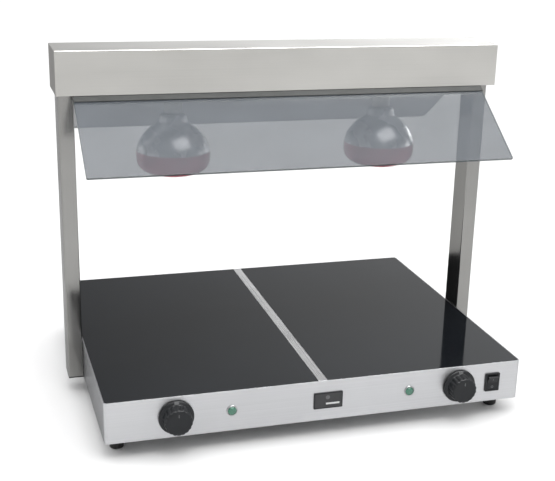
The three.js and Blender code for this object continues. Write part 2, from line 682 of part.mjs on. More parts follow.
// Folded rail: a lip under the canopy, and a channel that grips the glass
function shieldRail() {
  const lipTop = railFront[1];
  const width = span(SHIELD_HALF_W);
  const upper = band([-1.4, RAIL_LEG], [-RAIL_T, 0], width);
  const lower = band([glassStart - GAP - 1, RAIL_LEG], clampUp, width);
  const end = band([glassStart - GAP - RAIL_T, glassStart - GAP], [clampUp[0], 0], width);
  const lip = box(width, [railFront[0], railFront[0] + 18], [lipTop - RAIL_T, lipTop]);
  const above = box(span(SHIELD_HALF_W + 1), [railFront[0] - 20, railFront[0] + 20], [lipTop, lipTop + 20]);
  return cut(join([upper, lower, end, lip]), [above]);
}

for (const [name, end] of ENDS) {
  const face = (geometry) => (end < 0 ? geometry : mirrored(geometry, 'y'));
  const glass = band([glassStart, glassStart + SHIELD_LENGTH], glassUp, span(SHIELD_HALF_W));
  add(`shield_rail_${name}`, face(shieldRail()), BLACK_PLASTIC);
  add(`${name}_shield`, face(glass), TINTED_GLASS);
}

export default machine;
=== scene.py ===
"""Looks of the two-lamp food warmer: materials, detailed pieces, light and camera, in metres."""

import math

import bmesh
import bpy
from mathutils import Matrix, Vector


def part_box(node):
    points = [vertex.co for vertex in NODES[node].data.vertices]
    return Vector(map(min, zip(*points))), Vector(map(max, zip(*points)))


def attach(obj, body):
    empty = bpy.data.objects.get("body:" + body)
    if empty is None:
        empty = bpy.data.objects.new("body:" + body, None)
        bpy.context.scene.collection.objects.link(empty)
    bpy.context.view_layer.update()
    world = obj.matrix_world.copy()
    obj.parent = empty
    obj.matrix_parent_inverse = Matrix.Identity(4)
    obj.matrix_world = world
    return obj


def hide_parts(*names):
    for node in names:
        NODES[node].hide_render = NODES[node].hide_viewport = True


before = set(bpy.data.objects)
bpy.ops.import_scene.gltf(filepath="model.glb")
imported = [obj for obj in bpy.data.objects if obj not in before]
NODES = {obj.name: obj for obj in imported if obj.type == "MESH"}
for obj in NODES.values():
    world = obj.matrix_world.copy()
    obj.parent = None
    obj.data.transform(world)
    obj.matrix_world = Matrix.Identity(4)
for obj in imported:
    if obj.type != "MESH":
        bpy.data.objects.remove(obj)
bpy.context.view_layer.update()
SIDES = ("left", "right")
MM = 0.001


# ------------------------------------------------------------------ placement


def middle(node):
    lo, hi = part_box(node)
    return (lo + hi) / 2


def extent(node):
    lo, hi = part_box(node)
    return hi - lo


# ------------------------------------------------------------- material nodes

NOISE_ROUGHNESS = 0.55
RANGE_SOCKETS = ("From Min", "From Max", "To Min", "To Max")


class Finish:
    """A Principled material with the few node patterns that the finishes here are made of."""

    def __init__(self, name, color, roughness, metallic=0.0, **sockets):
        self.material = bpy.data.materials.new(name)
        self.material.use_nodes = True
        self.tree = self.material.node_tree
        self.shader = self.tree.nodes["Principled BSDF"]
        self.color, self.roughness = color, roughness
        self.put("Base Color", (*color, 1.0))
        self.put("Roughness", roughness)
        self.put("Metallic", metallic)
        for socket, value in sockets.items():
            self.put(socket.replace("_", " "), value)
        self.place = self.node("ShaderNodeTexCoord").outputs["Object"]

    def put(self, socket, value):
        self.shader.inputs[socket].default_value = value

    def node(self, kind, **settings):
        made = self.tree.nodes.new(kind)
        for key, value in settings.items():
            setattr(made, key, value)
        return made

    def link(self, source, target):
        self.tree.links.new(source, target)

    def noise(self, scale, detail=3.0, stretch=(1, 1, 1)):
        mapping = self.node("ShaderNodeMapping")
        mapping.inputs["Scale"].default_value = [scale * s for s in stretch]
        self.link(self.place, mapping.inputs["Vector"])
        made = self.node("ShaderNodeTexNoise")
        made.inputs["Scale"].default_value = 1.0
        made.inputs["Detail"].default_value = detail
        made.inputs["Roughness"].default_value = NOISE_ROUGHNESS
        self.link(mapping.outputs["Vector"], made.inputs["Vector"])
        return made.outputs["Fac"]

    def between(self, value, low, high, start=0.3, end=0.7):
        """value, which runs about from start to end, spread from low to high"""
        made = self.node("ShaderNodeMapRange")
        for key, number in zip(RANGE_SOCKETS, (start, end, low, high)):
            made.inputs[key].default_value = number
        self.link(value, made.inputs["Value"])
        return made.outputs["Result"]

    def maths(self, operation, a, b):
        made = self.node("ShaderNodeMath", operation=operation)
        for socket, value in zip(made.inputs, (a, b)):
            if isinstance(value, (int, float)):
                socket.default_value = value
            else:
                self.link(value, socket)
        return made.outputs["Value"]

    def shades(self, value, dark, light, start=0.3, end=0.7):
        """Colour between dark and light as value runs from start to end"""
        ramp = self.node("ShaderNodeValToRGB")
        first, last = ramp.color_ramp.elements
        first.position, first.color = start, (*dark, 1.0)
        last.position, last.color = end, (*light, 1.0)
        self.link(value, ramp.inputs["Fac"])
        return ramp.outputs["Color"]

    def tinted(self, value, spread, start=0.3, end=0.7):
        """The finish's own colour, darker and lighter by spread"""
        dark = [c * (1 - spread) for c in self.color]
        light = [min(1.0, c * (1 + spread)) for c in self.color]
        self.link(self.shades(value, dark, light, start, end), self.shader.inputs["Base Color"])

    def rough(self, value, low, high, start=0.3, end=0.7):
        self.link(self.between(value, low, high, start, end), self.shader.inputs["Roughness"])

    def bump(self, height, depth, strength=1.0):
        made = self.node("ShaderNodeBump")
        made.inputs["Distance"].default_value = depth
        made.inputs["Strength"].default_value = strength
        self.link(height, made.inputs["Height"])
        self.link(made.outputs["Normal"], self.shader.inputs["Normal"])


def brushed(name, color, grain, roughness=0.33, second=None, edge=1.0):
    """Satin sheet steel. grain is the stretch that draws the noise out into brush lines, second is
    that of the faces which grain can't serve, and edge is how bright the steel stays at a glancing
    angle."""
    made = Finish(name, color, roughness, metallic=1.0, Specular_Tint=(edge, edge, edge, 1.0))
    lines = made.noise(900, detail=2, stretch=grain)
    if second:
        crossed = made.noise(900, detail=2, stretch=second)
        lines = made.maths("MULTIPLY", made.maths("ADD", lines, crossed), 0.5)
    clouds = made.noise(6, detail=3, stretch=(0.6, 1, 1.6))
    lines_part = made.maths("MULTIPLY", lines, 0.45)
    clouds_part = made.maths("MULTIPLY", clouds, 0.55)
    both = made.maths("ADD", lines_part, clouds_part)
    start, end = 0.35, 0.65
    made.tinted(both, 0.07, start, end)
    made.rough(both, roughness - 0.05, roughness + 0.07, start, end)
    made.bump(lines, 0.02 * MM, 0.5)
    return made.material


def moulded(name, color, roughness, grain=1500.0, depth=0.03 * MM, **sockets):
    """Moulded plastic or rubber with a fine texture and faint handling wear"""
    made = Finish(name, color, roughness, **sockets)
    wear = made.noise(40, detail=4)
    made.tinted(wear, 0.22)
    made.rough(wear, roughness - 0.06, roughness + 0.08)
    made.bump(made.noise(grain, detail=2), depth, 0.6)
    return made.material


def machined(name, color, roughness):
    """Turned or pressed metal with faint stains"""
    made = Finish(name, color, roughness, metallic=1.0)
    stains = made.noise(60, detail=4)
    made.tinted(stains, 0.12)
    made.rough(stains, roughness - 0.07, roughness + 0.12)
    made.bump(made.noise(1400, detail=2), 0.02 * MM, 0.5)
    return made.material


def fibrous(name, color, spread, depth):
    """Mica board or mineral wool, with fibres drawn out one way"""
    made = Finish(name, color, 0.92, Sheen_Weight=0.15)
    threads = made.noise(500, detail=5, stretch=(1, 0.25, 1))
    made.tinted(threads, spread)
    made.bump(threads, depth, 0.9)
    return made.material


def polished_black():
    """Black ceramic glass, with the faint smears that wiping leaves"""
    made = Finish(
        "deck_glass", (0.006, 0.0075, 0.010), 0.04,
        IOR=1.5, Specular_IOR_Level=0.37, Specular_Tint=(0.92, 0.97, 1.0, 1.0),
    )
    smears = made.noise(9, detail=4, stretch=(0.5, 1.7, 1))
    made.rough(smears, 0.03, 0.1)
    haze = made.noise(3.2, detail=2)
    made.tinted(haze, 0.3)
    return made.material


def smoke_glass():
    """Tinted shield glass: what is behind shows through, greyed and a little blued"""
    made = Finish("shield_glass", (0.138, 0.156, 0.179), 0.07, IOR=1.5, Alpha=0.60)
    dust = made.noise(14, detail=5, stretch=(0.7, 1.4, 1))
    made.tinted(dust, 0.09)
    made.rough(dust, 0.05, 0.13)
    return made.material


def smoke_edge():
    """Ground edge of the same glass, where the longer way through it looks darker"""
    made = Finish("shield_edge", (0.045, 0.06, 0.066), 0.28, IOR=1.5, Alpha=0.8)
    made.tinted(made.noise(300, detail=2), 0.2)
    made.bump(made.noise(1800, detail=1), 0.02 * MM, 0.5)
    return made.material


def silvered():
    """Aluminised inside of the reflector lamp, seen through its glass"""
    made = Finish(
        "lamp_silver", (0.86, 0.87, 0.88), 0.22, metallic=0.6, Coat_Weight=0.3, Coat_Roughness=0.12
    )
    cloud = made.noise(26, detail=3)
    made.tinted(cloud, 0.1)
    made.rough(cloud, 0.22, 0.32)
    return made.material


def ruby():
    """Ruby glaze on the lamp's face, finely stippled"""
    made = Finish(
        "lamp_ruby", (0.47, 0.10, 0.135), 0.22, IOR=1.5, Coat_Weight=0.6, Coat_Roughness=0.05
    )
    cloud = made.noise(18, detail=3)
    made.tinted(cloud, 0.25)
    made.bump(made.noise(420, detail=1), 0.05 * MM, 0.4)
    return made.material


def glazed(name, color):
    """Glazed ceramic, a little uneven"""
    made = Finish(name, color, 0.3, Coat_Weight=0.5, Coat_Roughness=0.1)
    made.tinted(made.noise(55, detail=3), 0.06)
    made.bump(made.noise(260, detail=2), 0.05 * MM, 0.3)
    return made.material


def lens_green():
    """Green plastic of the pilot lamps, its colour finely mottled lighter and darker"""
    made = Finish(
        "pilot_green", (0.06, 0.185, 0.125), 0.2, IOR=1.49, Coat_Weight=0.3, Coat_Roughness=0.08
    )
    made.tinted(made.noise(420, detail=1), 0.3)
    return made.material


def painted(name, color):
    """Printed mark"""
    made = Finish(name, color, 0.5)
    made.tinted(made.noise(700, detail=2), 0.1)
    return made.material


# Stretches of the noise that draw it out along X and Y, X and Z, Z, and Y
LEVEL_GRAIN = (0.003, 0.003, 1)
DEEP_GRAIN = (0.003, 1, 0.003)
UPRIGHT_GRAIN = (1, 1, 0.003)
ACROSS_GRAIN = (1, 0.003, 1)

casing_steel = brushed("casing_steel", (0.485, 0.490, 0.502), LEVEL_GRAIN, edge=0.3)
canopy_steel = brushed(
    "canopy_steel", (0.44, 0.434, 0.416), LEVEL_GRAIN, second=DEEP_GRAIN, edge=0.55
)
# Darker copy of the canopy steel for the canopy's two ends: painted shade on the ends
end_shade_steel = brushed("end_shade_steel", (0.35, 0.341, 0.33), LEVEL_GRAIN, second=DEEP_GRAIN, edge=0.3)
post_steel = brushed("post_steel", (0.262, 0.26, 0.252), UPRIGHT_GRAIN, roughness=0.16, edge=0.25)
strip_steel = brushed("strip_steel", (0.64, 0.643, 0.65), ACROSS_GRAIN, roughness=0.28, edge=0.7)
plate_steel = brushed("plate_steel", (0.44, 0.445, 0.45), DEEP_GRAIN)
bolt_steel = machined("bolt_steel", (0.56, 0.56, 0.55), 0.26)
bright_aluminium = brushed("bright_aluminium", (0.70, 0.71, 0.72), DEEP_GRAIN, roughness=0.3)
deck_glass = polished_black()
shield_glass = smoke_glass()
shield_edge = smoke_edge()
lamp_silver = silvered()
lamp_ruby = ruby()
control_plastic = moulded("control_plastic", (0.0085, 0.010, 0.012), 0.42, Specular_IOR_Level=0.3)
badge_face = moulded("badge_face", (0.022, 0.023, 0.025), 0.38)
plug_plastic = moulded("plug_plastic", (0.02, 0.02, 0.021), 0.5)
rail_black = moulded(
    "rail_black", (0.057, 0.06, 0.059), 0.6, grain=700, depth=0.02 * MM, Specular_IOR_Level=0.3
)
pilot_green = lens_green()
foot_rubber = moulded("foot_rubber", (0.014, 0.014, 0.014), 0.66, grain=900, depth=0.08 * MM)
seal_silicone = moulded("seal_silicone", (0.02, 0.02, 0.021), 0.55)
white_ceramic = glazed("white_ceramic", (0.70, 0.69, 0.65))
mica_sheet = fibrous("mica_sheet", (0.36, 0.27, 0.13), 0.3, 0.03 * MM)
mineral_wool = fibrous("mineral_wool", (0.66, 0.62, 0.49), 0.14, 0.4 * MM)
brass = machined("brass", (0.62, 0.43, 0.18), 0.3)
copper = machined("copper", (0.64, 0.30, 0.17), 0.3)
lead_sheath = moulded("lead_sheath", (0.16, 0.16, 0.15), 0.6, grain=600)
mark_paint = painted("mark_paint", (0.62, 0.63, 0.63))
dull_paint = painted("dull_paint", (0.10, 0.103, 0.107))

CAD_FINISHES = {
    "body_wrap": casing_steel,
    "base_plate": plate_steel,
    "foot": foot_rubber,
    "divider_strip": strip_steel,
    "glass_plate": deck_glass,
    "glass_seal": seal_silicone,
    "heater_mat": mica_sheet,
    "insulation_board": mineral_wool,
    "heater_tray": bright_aluminium,
    "thermostat": white_ceramic,
    "capillary": copper,
    "spindle": brass,
    "knob": control_plastic,
    "pilot_bezel": bolt_steel,
    "pilot_lens": pilot_green,
    "rocker": control_plastic,
    "badge_plate": badge_face,
    "power_inlet": plug_plastic,
    "inlet_pins": brass,
    "terminal_block": white_ceramic,
    "lamp_lead": lead_sheath,
    "post": post_steel,
    "post_plug": plug_plastic,
    "post_bolt": bolt_steel,
    "canopy_shell": canopy_steel,
    "reflector_pan": bright_aluminium,
    "canopy_bracket": plate_steel,
    "canopy_bolt": bolt_steel,
    "lamp_holder": white_ceramic,
    "bulb": lamp_silver,
    "bulb_cap": brass,
    "shield_rail": rail_black,
    "front_shield": shield_glass,
    "rear_shield": shield_glass,
}

# Rounding of the sheet metal and moulded edges, in millimetres
EDGE_ROUNDING = {
    "body_wrap": 0.45,
    "base_plate": 0.3,
    "divider_strip": 0.3,
    "glass_plate": 0.6,
    "canopy_bracket": 0.4,
    "reflector_pan": 0.3,
    "post_plug": 0.6,
    "post_bolt": 0.5,
    "canopy_bolt": 0.5,
    "shield_rail": 0.35,
    "badge_plate": 0.35,
    "power_inlet": 0.5,
    "rocker_housing": 0.7,
    "terminal_block": 0.6,
    "thermostat": 0.5,
    "heater_tray": 0.3,
}


def kind_of(name, table):
    """The longest key of table that name starts with"""
    found = [key for key in table if name.startswith(key)]
    return max(found, key=len) if found else None


def soften(node, width):
    """Rounds the sharp edges of a CAD node with modifiers, its mesh left as it is"""
    node.data.polygons.foreach_set("use_smooth", [True] * len(node.data.polygons))
    weld = node.modifiers.new("weld", "WELD")
    weld.merge_threshold = 1e-6
    round_off = node.modifiers.new("round_off", "BEVEL")
    round_off.width = width * MM
    round_off.segments = 2
    round_off.limit_method = "ANGLE"
    round_off.angle_limit = math.radians(40)
    round_off.use_clamp_overlap = True
    normals = node.modifiers.new("normals", "WEIGHTED_NORMAL")
    normals.keep_sharp = True


for name, node in NODES.items():
    node.material_slots[0].material = CAD_FINISHES[kind_of(name, CAD_FINISHES)]
    rounding = kind_of(name, EDGE_ROUNDING)
    if rounding:
        soften(node, EDGE_ROUNDING[rounding])


# -------------------------------------------------------------------- meshes


def piece(name, mesh, body, materials, matrix, sharp=35.0):
    """An object made of mesh, which rides on body. Edges that turn more than sharp degrees stay
    crisp."""
    for material in materials:
        mesh.materials.append(material)
    mesh.shade_smooth()
    mesh.set_sharp_from_angle(angle=math.radians(sharp))
    made = bpy.data.objects.new(name, mesh)
    normals = made.modifiers.new("normals", "WEIGHTED_NORMAL")
    normals.keep_sharp = True
    bpy.context.scene.collection.objects.link(made)
    made.matrix_world = matrix
    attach(made, body)
    return made


def loft(name, rings, bands=None, closed=False):
    """Mesh through rings of points. bands gives each gap between two rings its material slot, and
    closed joins the last ring to the first instead of capping both ends."""
    count = len(rings[0])
    points = [point for ring in rings for point in ring]
    faces, slots = [], []
    gaps = len(rings) if closed else len(rings) - 1
    for row in range(gaps):
        here, there = row * count, ((row + 1) % len(rings)) * count
        for i in range(count):
            j = (i + 1) % count
            faces.append((here + i, here + j, there + j, there + i))
            slots.append(bands[row] if bands else 0)
    if not closed:
        last = (len(rings) - 1) * count
        faces.append(tuple(reversed(range(count))))
        faces.append(tuple(range(last, last + count)))
        slots += [slots[0], slots[-1]]
    mesh = bpy.data.meshes.new(name)
    mesh.from_pydata([tuple(p) for p in points], [], faces)
    mesh.polygons.foreach_set("material_index", slots)
    shape = bmesh.new()
    shape.from_mesh(mesh)
    bmesh.ops.recalc_face_normals(shape, faces=shape.faces)
    shape.to_mesh(mesh)
    shape.free()
    return mesh


def lathe_rings(profile, count):
    """Rings about Z through profile's [radius, height] points, in millimetres"""
    turn = 2 * math.pi / count
    return [
        [(r * MM * math.cos(turn * i), r * MM * math.sin(turn * i), z * MM) for i in range(count)]
        for r, z in profile
    ]


def smooth_line(points):
    """Points of a Catmull-Rom curve through points"""
    steps = 4
    ends = [points[0], *points, points[-1]]
    made = []
    for i in range(1, len(ends) - 2):
        p = [Vector(ends[i + k]) for k in (-1, 0, 1, 2)]
        for step in range(steps):
            t = step / steps
            along = 2 * p[1] + (p[2] - p[0]) * t
            along += (2 * p[0] - 5 * p[1] + 4 * p[2] - p[3]) * t**2
            along += (3 * p[1] - p[0] - 3 * p[2] + p[3]) * t**3
            made.append(tuple(0.5 * along))
    return [*made, tuple(points[-1])]


CORNER_STEPS = 5
EDGE_STEPS = 3


def rounded_outline(width, depth, radius):
    """Corner-rounded rectangle about the origin, anticlockwise"""
    points = []
    corners = ((1, -1, -90), (1, 1, 0), (-1, 1, 90), (-1, -1, 180))
    for sx, sy, start in corners:
        cx, cy = sx * (width / 2 - radius), sy * (depth / 2 - radius)
        for i in range(CORNER_STEPS + 1):
            a = math.radians(start + 90 * i / CORNER_STEPS)
            points.append((cx + radius * math.cos(a), cy + radius * math.sin(a)))
    return points


def slab_rings(width, depth, height, radius, edge):
    """Rings of a slab with rounded corners and rounded edges, from its bottom to its top"""
    turns = [math.radians(90 * i / EDGE_STEPS) for i in range(EDGE_STEPS + 1)]
    levels = [(edge * (1 - math.sin(a)), edge * (1 - math.cos(a))) for a in turns]
    levels += [(inset, height - z) for inset, z in reversed(levels)]
    rings = []
    for inset, z in levels:
        corner = max(radius - inset, edge / 4)
        outline = rounded_outline(width - 2 * inset, depth - 2 * inset, corner)
        rings.append([(x, y, z) for x, y in outline])
    return rings


def box_rings(levels):
    """Rings of rounded rectangles from levels of [width, depth, height, corner radius], all in
    millimetres"""
    return [
        [(x * MM, y * MM, z * MM) for x, y in rounded_outline(width, depth, radius)]
        for width, depth, z, radius in levels
    ]


def out_of_panel(x, y, z):
    """Frame whose +Z points out of the control panel, and whose +Y points up"""
    return Matrix.Translation((x, y, z)) @ Matrix.Rotation(math.radians(90), 4, "X")


# ------------------------------------------------------------- sheet metal


def bent_edge(width, depth, height, bend):
    """Levels that round a box's top edge off, from its wall to its top"""
    made = []
    for i in range(CORNER_STEPS + 1):
        a = math.radians(90 * i / CORNER_STEPS)
        inset, z = bend * (1 - math.cos(a)), height - bend * (1 - math.sin(a))
        made.append((width - 2 * inset, depth - 2 * inset, z, max(bend - inset, 0.3)))
    return made


def canopy():
    """Folded shell, open below, with a lip along its front and its back. Its two ends are caps, in
    a darker copy of its steel that paints shade on them.
    """
    lo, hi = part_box("canopy_shell")
    width, depth, height = (hi - lo) / MM
    sheet, lip, bend = 1.5, 12, 1.3
    inside = (width - 2 * sheet, depth - 2 * sheet)
    mouth = (inside[0], inside[1] - 2 * lip)
    levels = [
        (*inside, height - sheet, 1), (*inside, sheet, 1), (*mouth, sheet, 0.4), (*mouth, 0.3, 0.4),
        (mouth[0], mouth[1] + 0.6, 0, 0.4), (width - 1, depth - 1, 0, bend - 0.5),
        (width - 0.2, depth - 0.2, 0.15, bend), (width, depth, 0.6, bend),
        *bent_edge(width, depth, height, bend),
    ]
    at = Matrix.Translation(((lo.x + hi.x) / 2, (lo.y + hi.y) / 2, lo.z))
    mesh = loft("canopy", box_rings(levels))
    # Faces that point along X, the two ends, take the darker steel: painted shade
    for polygon in mesh.polygons:
        faces_an_end = abs(polygon.normal.x) > 0.9
        polygon.material_index = int(faces_an_end)
    steels = [canopy_steel, end_shade_steel]
    shell = piece("canopy", mesh, "frame", steels, matrix=at)
    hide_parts("canopy_shell")


def post(side):
    """Box section tube with rounded corners"""
    lo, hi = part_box(f"post_{side}")
    width, depth, height = (hi - lo) / MM
    wall, bend = 1.5, 1.8
    inside = (width - 2 * wall, depth - 2 * wall)
    levels = [
        (*inside, 0.2, 0.5), (width - 0.6, depth - 0.6, 0, bend), (width, depth, 0.3, bend),
        (width, depth, height - 0.3, bend), (width - 0.6, depth - 0.6, height, bend),
        (*inside, height - 0.2, 0.5),
    ]
    at = Matrix.Translation(((lo.x + hi.x) / 2, (lo.y + hi.y) / 2, lo.z))
    mesh = loft(f"tube_{side}", box_rings(levels), closed=True)
    tube = piece(f"tube_{side}", mesh, "frame", [post_steel], matrix=at)
    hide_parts(f"post_{side}")


def foot(place):
    """Push-in rubber foot with a hollow sole, a moulded groove and a barbed neck"""
    centre = middle(f"foot_{place}")
    at = Matrix.Translation((centre.x, centre.y, 0))
    sole = [
        (0.4, 6.2), (3.6, 6.1), (5.1, 5.2), (5.6, 3), (6.2, 0.8), (7.2, 0), (9.4, 0), (10.6, 0.4),
        (11.2, 1.4), (11.5, 4), (12.1, 12),
    ]
    groove = [(11.7, 12.5), (11.7, 13.3), (12.2, 13.8)]
    top = [(12.9, 22), (13.5, 24.2), (13.5, 26.8), (13.2, 27.6), (12.4, 27.9), (2.5, 27.9)]
    neck = [(2.5, 31.8), (4.4, 31.8), (3.8, 33.8), (2.2, 36.8), (0.4, 36.8)]
    profile = sole + groove + top + neck
    mesh = loft(f"rubber_{place}", lathe_rings(profile, 40))
    rubber = piece(f"rubber_{place}", mesh, "frame", [foot_rubber], matrix=at)
    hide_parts(f"foot_{place}")


def screw(name, matrix, radius=3.2, height=1.7):
    """Button head with a hexagon socket, which faces its +Z"""
    count, socket = 24, 0.42 * radius
    floor_z = height * 0.25
    # radius, height, and whether the ring is a hexagon
    levels = [
        (0.1, floor_z, 0), (socket, floor_z, 1), (socket, height, 1), (radius * 0.58, height, 0),
        (radius * 0.8, height * 0.86, 0), (radius * 0.94, height * 0.55, 0),
        (radius, height * 0.2, 0), (radius, -0.4, 0),
    ]
    rings = []
    for r, z, hexagonal in levels:
        ring = []
        for i in range(count):
            a = 2 * math.pi * i / count
            flat = math.cos(math.pi / 6) / math.cos(a % (math.pi / 3) - math.pi / 6)
            reach = r * (flat if hexagonal else 1)
            ring.append((reach * MM * math.cos(a), reach * MM * math.sin(a), z * MM))
        rings.append(ring)
    piece(name, loft(name, rings), "frame", [bolt_steel], matrix=matrix)


canopy()
for side in SIDES:
    post(side)
for place in ("front_left", "front_right", "rear_left", "rear_right"):
    foot(place)

# Screws of the bottom plate and of the inlet
face_down = Matrix.Rotation(math.pi, 4, "X")
plate_lo, plate_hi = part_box("base_plate")
SCREW_INSET = 9 * MM
for row, y in enumerate((plate_lo.y + SCREW_INSET, plate_hi.y - SCREW_INSET)):
    for column, share in enumerate((0.16, 0.5, 0.84)):
        x = plate_lo.x + share * (plate_hi.x - plate_lo.x)
        screw(f"plate_screw_{row}_{column}", Matrix.Translation((x, y, plate_lo.z)) @ face_down)
inlet_lo, inlet_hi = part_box("power_inlet")
face_back = Matrix.Rotation(math.radians(-90), 4, "X")
EAR_INSET = 5 * MM
INLET_SCREW_HEIGHT = 1.0
for end, x in (("left", inlet_lo.x + EAR_INSET), ("right", inlet_hi.x - EAR_INSET)):
    seat = inlet_hi.y - INLET_SCREW_HEIGHT * MM
    spot = Matrix.Translation((x, seat, middle("power_inlet").z))
    screw(f"inlet_screw_{end}", spot @ face_back, radius=2.6, height=INLET_SCREW_HEIGHT)


# --------------------------------------------------------------------- lamps

# Lamp sizes in millimetres, with heights above the table
WIDE_R, WIDE_Z = 62.5, 411
FACE_DEPTH = 32.5
FACE_POWER = 2 / 3
RUBY_TOP = 420
SHOULDER = (
    (WIDE_R, WIDE_Z), (62.3, 418), (60.3, 427), (55.6, 437.5), (48.6, 447.5), (40, 456.3),
    (31, 463.2), (25.8, 467.4), (24.4, 471), (23.6, 476.5), (22.2, 480.2), (19, 482),
    (14.5, 482.5), (12.4, 484), (12.4, 502.5),
)
HOLDER = (
    (13.8, 483.4), (15.0, 483), (15.5, 483.6), (15.5, 490), (14.9, 490.6), (14.9, 492),
    (15.5, 492.6), (15.5, 500), (14.9, 500.6), (14.9, 502), (15.5, 502.6), (15.5, 526.6),
    (23.4, 526.6), (24, 527.2), (24, 530), (23.4, 530.6), (21, 530.6), (21, 571.5), (19, 574.9),
    (2, 575), (2, 574.4), (13, 574.2), (13.8, 533),
)


def lamp(side):
    """Reflector lamp and the ceramic holder that it screws into"""
    centre = middle(f"bulb_{side}")
    at = Matrix.Translation((centre.x, centre.y, 0))
    # The face is a superellipse, flatter in the middle and rounder at the rim than an ellipse
    nose = []
    for a in range(4, 90, 4):
        across, down = math.sin(math.radians(a)), math.cos(math.radians(a))
        nose.append((WIDE_R * across**FACE_POWER, WIDE_Z - FACE_DEPTH * down**FACE_POWER))
    profile = [(0.6, WIDE_Z - FACE_DEPTH), *nose, *smooth_line(SHOULDER)]
    bands = [0 if (a[1] + b[1]) / 2 < RUBY_TOP else 1 for a, b in zip(profile, profile[1:])]
    mesh = loft(f"lamp_{side}", lathe_rings(profile, 72), bands)
    made = piece(f"lamp_{side}", mesh, "frame", [lamp_ruby, lamp_silver], matrix=at)
    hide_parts(f"bulb_{side}")

    holder_mesh = loft(f"socket_{side}", lathe_rings(HOLDER, 48), closed=True)
    socket = piece(f"socket_{side}", holder_mesh, "frame", [white_ceramic], matrix=at)
    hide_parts(f"lamp_holder_{side}")


for side in SIDES:
    lamp(side)


# ------------------------------------------------------------------- shields

SHIELD_TILT = math.radians(34)


def shield(name, turn):
    """Slab whose length and thickness come from the CAD slab's box and tilt"""
    size = extent(name)
    c, s = math.cos(SHIELD_TILT), math.sin(SHIELD_TILT)
    length = (size.y * c - size.z * s) / (c * c - s * s)
    thickness = (size.z * c - size.y * s) / (c * c - s * s)
    rings = slab_rings(size.x, length, thickness, 2.5 * MM, 0.7 * MM)
    bands = [1] * (len(rings) - 1)
    mesh = loft(f"{name}_glass", rings, bands)
    for cap in mesh.polygons[-2:]:
        cap.material_index = 0
    tilt = Matrix.Rotation(turn * SHIELD_TILT, 4, "X")
    at = Matrix.Translation(middle(name)) @ tilt @ Matrix.Translation((0, 0, -thickness / 2))
    glass = [shield_glass, shield_edge]
    made = piece(f"{name}_glass", mesh, "frame", glass, matrix=at)
    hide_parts(name)


shield("front_shield", 1)
shield("rear_shield", -1)


# ------------------------------------------------------------------ controls


def knob(side):
    """Skirted knob with a fluted cap. Its index mark points up when the heater is off."""
    lo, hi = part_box(f"knob_{side}")
    centre = (lo + hi) / 2
    depth = (hi.y - lo.y) / MM
    at = out_of_panel(centre.x, hi.y, centre.z)
    body = f"knob_{side}"
    flutes, flute_depth, count = 18, 1.15, 216
    # radius, height and how much of the flutes shows
    skirt = [
        (8, 0.2, 0), (27, 0, 0), (27.8, 0.5, 0), (28, 1.3, 0), (27.4, 2.2, 0), (25, 3.3, 0),
        (23.2, 3.9, 0),
    ]
    cap = [
        (22.7, 4.6, 0.2), (22.5, 6, 1), (22.2, 12, 1), (21.9, depth - 2.6, 1),
        (21.5, depth - 1.4, 0.8), (20.6, depth - 0.6, 0.4), (19.3, depth - 0.15, 0.1),
        (17.5, depth, 0),
    ]
    face = [(15.5, depth - 0.35, 0), (9, depth - 0.7, 0), (1, depth - 0.75, 0)]
    rings = []
    for radius, height, share in skirt + cap + face:
        ring = []
        for i in range(count):
            a = 2 * math.pi * i / count
            groove = 0.5 + 0.5 * math.cos(flutes * a)
            r = radius - flute_depth * share * groove**1.6
            ring.append((r * MM * math.cos(a), r * MM * math.sin(a), height * MM))
        rings.append(ring)
    name = f"grip_{side}"
    mesh = loft(name, rings)
    grip = piece(name, mesh, body, [control_plastic], matrix=at, sharp=50)
    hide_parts(f"knob_{side}")

    line = loft(f"index_{side}", slab_rings(1.4 * MM, 9 * MM, 0.5 * MM, 0.6 * MM, 0.2 * MM))
    place = at @ Matrix.Translation((0, 13.6 * MM, (depth - 0.9) * MM))
    piece(f"index_{side}", line, body, [dull_paint], matrix=place)
    # Lighter grey patch on the top of the skirt
    top_patch = loft(f"notch_{side}", slab_rings(7.5 * MM, 4.6 * MM, 0.6 * MM, 0.8 * MM, 0.2 * MM))
    lean = Matrix.Rotation(math.radians(-25), 4, "X")
    place = at @ Matrix.Translation((0, 25.2 * MM, 2.95 * MM)) @ lean
    piece(f"notch_{side}", top_patch, body, [dull_paint], matrix=place)


def pilot(side):
    """Faceted green lens in a bright ring"""
    lo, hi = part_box(f"pilot_lens_{side}")
    ring_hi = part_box(f"pilot_bezel_{side}")[1]
    x, z = (lo.x + hi.x) / 2, (lo.z + hi.z) / 2
    at = out_of_panel(x, ring_hi.y, z)
    stem = [(4.9, -8), (4.9, 0.2)]
    dome = [(6.9, 0.3), (7, 1.2), (6.6, 1.9), (5.2, 3.0), (3.4, 3.7), (1.2, 4.05)]
    mesh = loft(f"lens_{side}", lathe_rings(stem + dome, 16))
    lens = piece(f"lens_{side}", mesh, "frame", [pilot_green], matrix=at, sharp=12)
    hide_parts(f"pilot_lens_{side}")
    ring_profile = [(7.35, 0), (9, 0), (9, 0.6), (8.7, 1.05), (8.2, 1.25), (7.7, 1.15), (7.4, 0.8)]
    ring_mesh = loft(f"ring_{side}", lathe_rings(ring_profile, 48), closed=True)
    ring = piece(f"ring_{side}", ring_mesh, "frame", [plate_steel], matrix=at)
    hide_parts(f"pilot_bezel_{side}")


